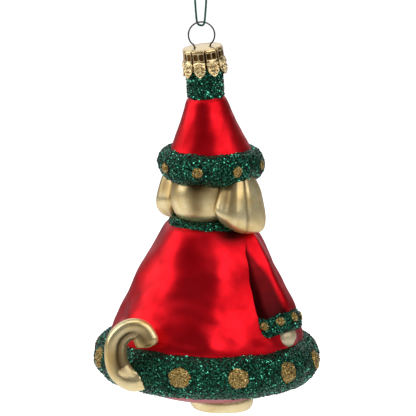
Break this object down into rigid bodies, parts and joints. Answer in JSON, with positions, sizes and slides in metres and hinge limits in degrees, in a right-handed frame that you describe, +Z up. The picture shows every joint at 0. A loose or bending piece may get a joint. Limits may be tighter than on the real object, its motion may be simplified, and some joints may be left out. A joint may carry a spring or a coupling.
{
  "type": "blown glass hanging ornament",
  "caption": "Blown-glass tree ornament: dog in a bell-shaped red robe and pointed hat with green glitter bands, gold crown cap, wire loop and cord loop.",
  "frame": {"origin": "the hang point: where a hook takes the top of the cord loop, just under its knot; the object hangs below it", "axes": "+Z up, the dog faces -Y, its right arm is at -X and its tail at +Y"},
  "size_m": [0.0802, 0.0878, 0.1579],
  "materials": {
    "red_lacquer": "satin lacquer over silvered glass",
    "pearl_gold_lacquer": "pearl gold lacquer over silvered glass",
    "cream_lacquer": "satin cream lacquer",
    "green_glitter": "coarse green glitter glued over the glass",
    "gold_glitter": "coarse gold glitter dots",
    "black_paint": "gloss black enamel",
    "stamped_brass": "bright stamped sheet, gold toned",
    "spring_wire": "dark drawn wire",
    "green_cord": "thin braided cord"
  },
  "bodies": {
    "hanger": {"cord_loop": "green_cord", "cord_knot": "green_cord"},
    "wire_loop": {"wire_loop": "spring_wire"},
    "cap": {"cap": "stamped_brass"},
    "glass_figure": {"brim_band": "green_glitter", "brim_dot_1": "gold_glitter", "brim_dot_2": "gold_glitter", "brim_dot_3": "gold_glitter", "brim_dot_4": "gold_glitter", "brim_dot_5": "gold_glitter", "brim_dot_6": "gold_glitter", "brim_dot_7": "gold_glitter", "brim_dot_8": "gold_glitter", "hat": "red_lacquer", "neck_band": "green_glitter", "robe": "red_lacquer", "hem_band": "green_glitter", "collar": "green_glitter", "underside": "red_lacquer", "feet": "pearl_gold_lacquer", "hem_dot_1": "gold_glitter", "hem_dot_2": "gold_glitter", "hem_dot_3": "gold_glitter", "hem_dot_4": "gold_glitter", "hem_dot_5": "gold_glitter", "hem_dot_6": "gold_glitter", "hem_dot_7": "gold_glitter", "hem_dot_8": "gold_glitter", "hem_dot_9": "gold_glitter", "hem_dot_10": "gold_glitter", "hem_dot_11": "gold_glitter", "tail": "pearl_gold_lacquer", "head": "pearl_gold_lacquer", "nose": "black_paint", "eye_right": "black_paint", "ear_right": "pearl_gold_lacquer", "eye_left": "black_paint", "ear_left": "pearl_gold_lacquer", "sleeve_right": "red_lacquer", "cuff_right": "green_glitter", "paw_right": "cream_lacquer", "cuff_dot_right_1": "gold_glitter", "cuff_dot_right_2": "gold_glitter", "cuff_dot_right_3": "gold_glitter", "cuff_dot_right_4": "gold_glitter", "sleeve_left": "red_lacquer", "cuff_left": "green_glitter", "paw_left": "cream_lacquer", "cuff_dot_left_1": "gold_glitter", "cuff_dot_left_2": "gold_glitter", "cuff_dot_left_3": "gold_glitter", "cuff_dot_left_4": "gold_glitter"}
  },
  "joints": [
    {"name": "loop_swing", "type": "hinge", "parent": "hanger", "child": "wire_loop", "pos_m": [0, 0, -0.01624], "axis": [-0.6947, 0.7193, 0], "range_deg": [-25, 25]},
    {"name": "cap_rock", "type": "hinge", "parent": "wire_loop", "child": "cap", "pos_m": [-0.00045, -0.00044, -0.02509], "axis": [-0.7176, -0.693, 0.0698], "range_deg": [-10, 10]},
    {"name": "cap_pull", "type": "slide", "parent": "cap", "child": "glass_figure", "axis": [-0.0502, -0.0485, -0.9976], "range_m": [0, 0.014]}
  ]
}
